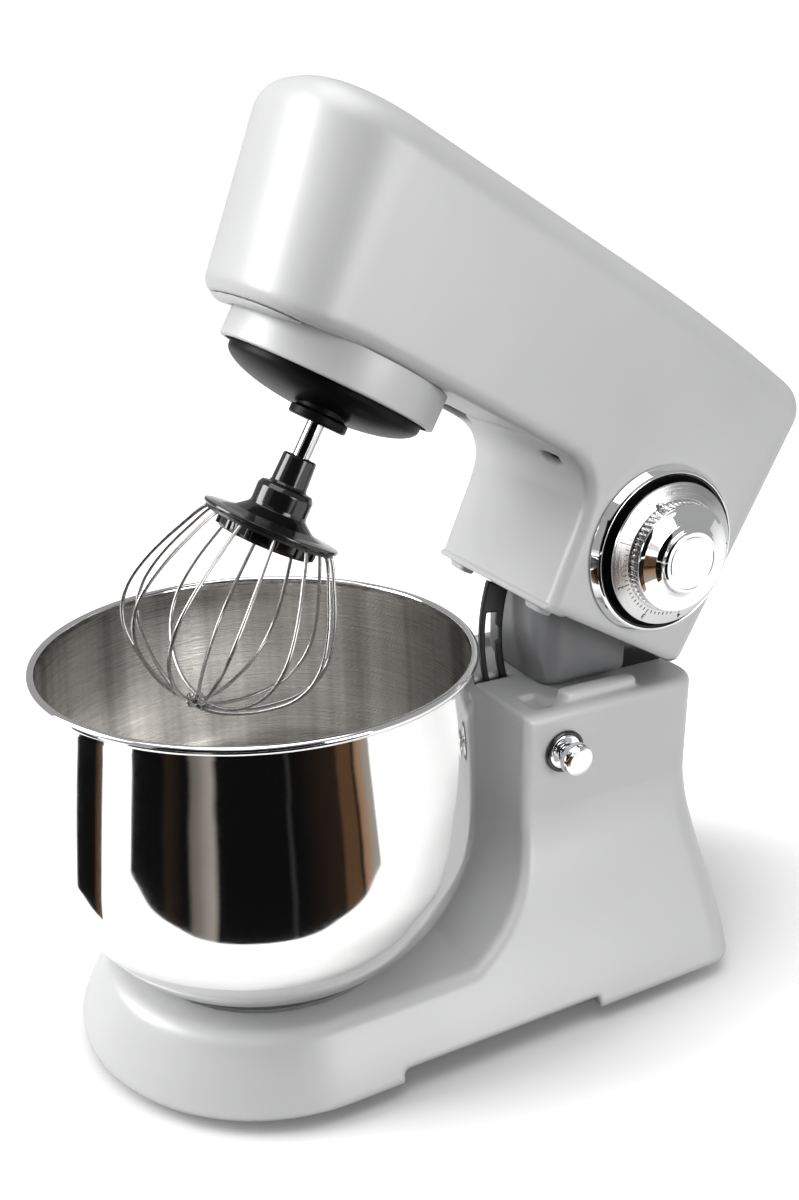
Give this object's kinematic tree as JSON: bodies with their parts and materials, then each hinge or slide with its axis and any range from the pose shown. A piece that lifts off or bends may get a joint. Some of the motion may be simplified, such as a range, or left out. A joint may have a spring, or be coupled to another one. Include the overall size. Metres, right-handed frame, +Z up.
{
  "type": "tilt-head stand mixer",
  "caption": "Tilt-head stand mixer shown open: footed base and column, hinged head with planetary drive, whisk, speed dial, head latch and a polished steel bowl.",
  "frame": {"origin": "centre of the bounding box in X and Y, at the plane the feet stand on", "axes": "+Z up, -Y towards the bowl end, +X towards the side with the speed dial and the latch knob"},
  "size_m": [0.2356, 0.4372, 0.4995],
  "materials": {
    "satin_silver": "satin metallic silver paint",
    "grey_plastic": "satin",
    "black_gloss": "glossy",
    "black_matt": "matt",
    "chrome": "mirror polished",
    "polished_steel": "polished outside, brushed inside",
    "steel": "drawn wire and turned bar",
    "rubber": "matt",
    "nylon": "natural moulded nylon",
    "cast_alloy": "die cast",
    "copper_iron": "laminated core with copper windings",
    "circuit_board": "satin"
  },
  "bodies": {
    "base": {"base_shell": "satin_silver", "base_floor": "black_matt", "foot_front_left": "rubber", "foot_front_right": "rubber", "foot_rear_left": "rubber", "foot_rear_right": "rubber", "cord_inlet": "black_matt", "bowl_seat": "grey_plastic", "neck_block": "grey_plastic", "hinge_bracket": "black_gloss", "hinge_pin": "steel", "latch_bush": "black_gloss", "latch_guide": "grey_plastic", "latch_spring": "steel"},
    "head": {"head_cover": "satin_silver", "head_underside": "satin_silver", "drive_skirt": "satin_silver", "hinge_ear_left": "cast_alloy", "hinge_ear_right": "cast_alloy", "latch_quadrant": "black_matt", "ring_gear": "nylon", "head_deck": "cast_alloy", "output_bearing": "steel", "motor_stator": "copper_iron", "motor_cap": "cast_alloy", "drive_belt": "rubber", "control_board": "circuit_board", "dial_bezel": "chrome", "speed_switch": "black_matt"},
    "latch": {"latch_knob": "chrome"},
    "motor": {"motor_shaft": "steel", "motor_pulley": "black_matt", "motor_fan": "black_matt"},
    "layshaft": {"layshaft": "steel", "big_pulley": "nylon"},
    "planet_drive": {"planet_carrier": "black_gloss", "output_shaft": "steel", "final_gear": "nylon"},
    "beater": {"beater_shaft": "chrome", "planet_gear": "nylon"},
    "whisk": {"whisk_hub": "black_gloss", "whisk_wires": "steel"},
    "dial": {"dial_skirt": "chrome", "dial_knob": "chrome", "dial_shaft": "steel"},
    "bowl": {"bowl": "polished_steel", "bowl_foot": "polished_steel"}
  },
  "joints": [
    {"name": "head_tilt", "type": "hinge", "parent": "base", "child": "head", "pos_m": [0, 0.15524, 0.2025], "axis": [1, 0, 0], "range_deg": [0, 29]},
    {"name": "latch_slide", "type": "slide", "parent": "base", "child": "latch", "axis": [1, 0, 0], "range_m": [0, 0.006], "stiffness_N_per_m": 400, "springref_m": -0.002},
    {"name": "speed_dial", "type": "hinge", "parent": "head", "child": "dial", "pos_m": [0.061, 0.11534, 0.26006], "axis": [-1, 0, 0], "range_deg": [-30, 240]},
    {"name": "planet_spin", "type": "hinge", "parent": "head", "child": "planet_drive", "pos_m": [0, -0.047, 0.37291], "axis": [0, 0.4848, 0.8746], "continuous": true},
    {"name": "beater_spin", "type": "hinge", "parent": "planet_drive", "child": "beater", "pos_m": [0.02283, -0.06318, 0.35902], "axis": [0, 0.4848, 0.8746], "continuous": true},
    {"name": "layshaft_spin", "type": "hinge", "parent": "head", "child": "layshaft", "pos_m": [0, 0.01087, 0.38657], "axis": [0, 0.4848, 0.8746], "continuous": true},
    {"name": "motor_spin", "type": "hinge", "parent": "head", "child": "motor", "pos_m": [0, 0.07035, 0.3536], "axis": [0, 0.4848, 0.8746], "continuous": true},
    {"name": "whisk_twist", "type": "hinge", "parent": "beater", "child": "whisk", "pos_m": [0.02283, -0.08306, 0.32316], "axis": [0, 0.4617, 0.887], "range_deg": [0, 25]},
    {"name": "bowl_twist", "type": "hinge", "parent": "base", "child": "bowl", "pos_m": [0, -0.10076, 0.05], "axis": [0, 0, 1], "range_deg": [0, 22]}
  ],
  "couplings": [
    {"joint": "beater_spin", "follows": "planet_spin", "ratio": -3},
    {"joint": "layshaft_spin", "follows": "planet_spin", "ratio": -2.6667},
    {"joint": "motor_spin", "follows": "planet_spin", "ratio": -11.667}
  ]
}
